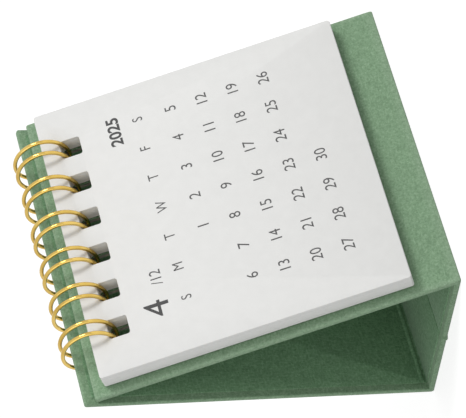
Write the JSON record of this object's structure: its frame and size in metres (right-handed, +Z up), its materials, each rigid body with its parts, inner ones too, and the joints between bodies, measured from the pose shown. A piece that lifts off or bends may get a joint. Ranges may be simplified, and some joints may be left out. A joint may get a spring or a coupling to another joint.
{
  "type": "desk calendar",
  "caption": "Small folding easel of cloth-covered boards with calendar leaves hung from its top edge on a gold twin-loop wire.",
  "frame": {"origin": "centre of the base on the surface the calendar stands on", "axes": "+X to the reader's right along the folds, +Y to the rear, +Z up"},
  "size_m": [0.065, 0.0386, 0.0724],
  "materials": {
    "cover_cloth": "sage green book cloth with a fine uneven weave, matt",
    "lining": "sage green lining, matt, a little darker than the cover",
    "greyboard": "plain grey bookboard",
    "leaf_paper": "smooth uncoated white card",
    "gold_wire": "bright gold lacquered wire"
  },
  "bodies": {
    "front_panel": {"front_greyboard": "greyboard", "front_cover_cloth": "cover_cloth", "front_lining": "lining", "front_fold_cloth": "cover_cloth", "binding_wire": "gold_wire"},
    "base_front_panel": {"base_front_greyboard": "greyboard", "base_front_cover_cloth": "cover_cloth", "base_front_lining": "lining", "centre_crease_cloth": "cover_cloth"},
    "base_rear_panel": {"base_rear_greyboard": "greyboard", "base_rear_cover_cloth": "cover_cloth", "base_rear_lining": "lining"},
    "back_panel": {"back_greyboard": "greyboard", "back_cover_cloth": "cover_cloth", "back_lining": "lining", "rear_fold_cloth": "cover_cloth"},
    "leaf_01": {"leaf_01": "leaf_paper"},
    "leaf_02": {"leaf_02": "leaf_paper"},
    "leaf_03": {"leaf_03": "leaf_paper"},
    "leaf_04": {"leaf_04": "leaf_paper"},
    "leaf_05": {"leaf_05": "leaf_paper"},
    "leaf_06": {"leaf_06": "leaf_paper"},
    "leaf_07": {"leaf_07": "leaf_paper"},
    "leaf_08": {"leaf_08": "leaf_paper"},
    "leaf_09": {"leaf_09": "leaf_paper"},
    "leaf_10": {"leaf_10": "leaf_paper"},
    "leaf_11": {"leaf_11": "leaf_paper"},
    "leaf_12": {"leaf_12": "leaf_paper"},
    "leaf_13": {"leaf_13": "leaf_paper"}
  },
  "joints": [
    {"name": "front_fold", "type": "hinge", "parent": "front_panel", "child": "base_front_panel", "pos_m": [0, -0.01666, 0.0012], "axis": [1, 0, 0], "range_deg": [0, 22]},
    {"name": "centre_crease", "type": "hinge", "parent": "base_front_panel", "child": "base_rear_panel", "pos_m": [0, 0.00074, 0.0001], "axis": [-1, 0, 0], "range_deg": [0, 44.05]},
    {"name": "rear_fold", "type": "hinge", "parent": "base_rear_panel", "child": "back_panel", "pos_m": [0, 0.01814, 0.0012], "axis": [1, 0, 0], "range_deg": [0, 20.5]},
    {"name": "leaf_01_turn", "type": "hinge", "parent": "front_panel", "child": "leaf_01", "pos_m": [0, 0.00283, 0.06605], "axis": [-1, 0, 0], "range_deg": [0, 108]},
    {"name": "leaf_02_turn", "type": "hinge", "parent": "front_panel", "child": "leaf_02", "pos_m": [0, 0.00283, 0.06605], "axis": [-1, 0, 0], "range_deg": [0, 99.59]},
    {"name": "leaf_03_turn", "type": "hinge", "parent": "front_panel", "child": "leaf_03", "pos_m": [0, 0.00283, 0.06605], "axis": [-1, 0, 0], "range_deg": [0, 91.13]},
    {"name": "leaf_04_turn", "type": "hinge", "parent": "front_panel", "child": "leaf_04", "pos_m": [0, 0.00283, 0.06605], "axis": [-1, 0, 0], "range_deg": [0, 82.67]},
    {"name": "leaf_05_turn", "type": "hinge", "parent": "front_panel", "child": "leaf_05", "pos_m": [0, 0.00283, 0.06605], "axis": [-1, 0, 0], "range_deg": [0, 74.21]},
    {"name": "leaf_06_turn", "type": "hinge", "parent": "front_panel", "child": "leaf_06", "pos_m": [0, 0.00283, 0.06605], "axis": [-1, 0, 0], "range_deg": [0, 65.75]},
    {"name": "leaf_07_turn", "type": "hinge", "parent": "front_panel", "child": "leaf_07", "pos_m": [0, 0.00283, 0.06605], "axis": [-1, 0, 0], "range_deg": [0, 57.29]},
    {"name": "leaf_08_turn", "type": "hinge", "parent": "front_panel", "child": "leaf_08", "pos_m": [0, 0.00283, 0.06605], "axis": [-1, 0, 0], "range_deg": [0, 48.83]},
    {"name": "leaf_09_turn", "type": "hinge", "parent": "front_panel", "child": "leaf_09", "pos_m": [0, 0.00283, 0.06605], "axis": [-1, 0, 0], "range_deg": [0, 40.37]},
    {"name": "leaf_10_turn", "type": "hinge", "parent": "front_panel", "child": "leaf_10", "pos_m": [0, 0.00283, 0.06605], "axis": [-1, 0, 0], "range_deg": [0, 31.91]},
    {"name": "leaf_11_turn", "type": "hinge", "parent": "front_panel", "child": "leaf_11", "pos_m": [0, 0.00283, 0.06605], "axis": [-1, 0, 0], "range_deg": [0, 23.45]},
    {"name": "leaf_12_turn", "type": "hinge", "parent": "front_panel", "child": "leaf_12", "pos_m": [0, 0.00283, 0.06605], "axis": [-1, 0, 0], "range_deg": [0, 14.99]},
    {"name": "leaf_13_turn", "type": "hinge", "parent": "front_panel", "child": "leaf_13", "pos_m": [0, 0.00283, 0.06605], "axis": [-1, 0, 0], "range_deg": [0, 6.53]}
  ],
  "couplings": [
    {"joint": "centre_crease", "follows": "front_fold", "ratio": 2},
    {"joint": "rear_fold", "follows": "front_fold", "ratio": 0.93},
    {"joint": "leaf_02_turn", "follows": "leaf_01_turn", "ratio": 0.9217},
    {"joint": "leaf_03_turn", "follows": "leaf_01_turn", "ratio": 0.8433},
    {"joint": "leaf_04_turn", "follows": "leaf_01_turn", "ratio": 0.765},
    {"joint": "leaf_05_turn", "follows": "leaf_01_turn", "ratio": 0.6867},
    {"joint": "leaf_06_turn", "follows": "leaf_01_turn", "ratio": 0.6083},
    {"joint": "leaf_07_turn", "follows": "leaf_01_turn", "ratio": 0.53},
    {"joint": "leaf_08_turn", "follows": "leaf_01_turn", "ratio": 0.4517},
    {"joint": "leaf_09_turn", "follows": "leaf_01_turn", "ratio": 0.3733},
    {"joint": "leaf_10_turn", "follows": "leaf_01_turn", "ratio": 0.295},
    {"joint": "leaf_11_turn", "follows": "leaf_01_turn", "ratio": 0.2167},
    {"joint": "leaf_12_turn", "follows": "leaf_01_turn", "ratio": 0.1383},
    {"joint": "leaf_13_turn", "follows": "leaf_01_turn", "ratio": 0.06}
  ]
}
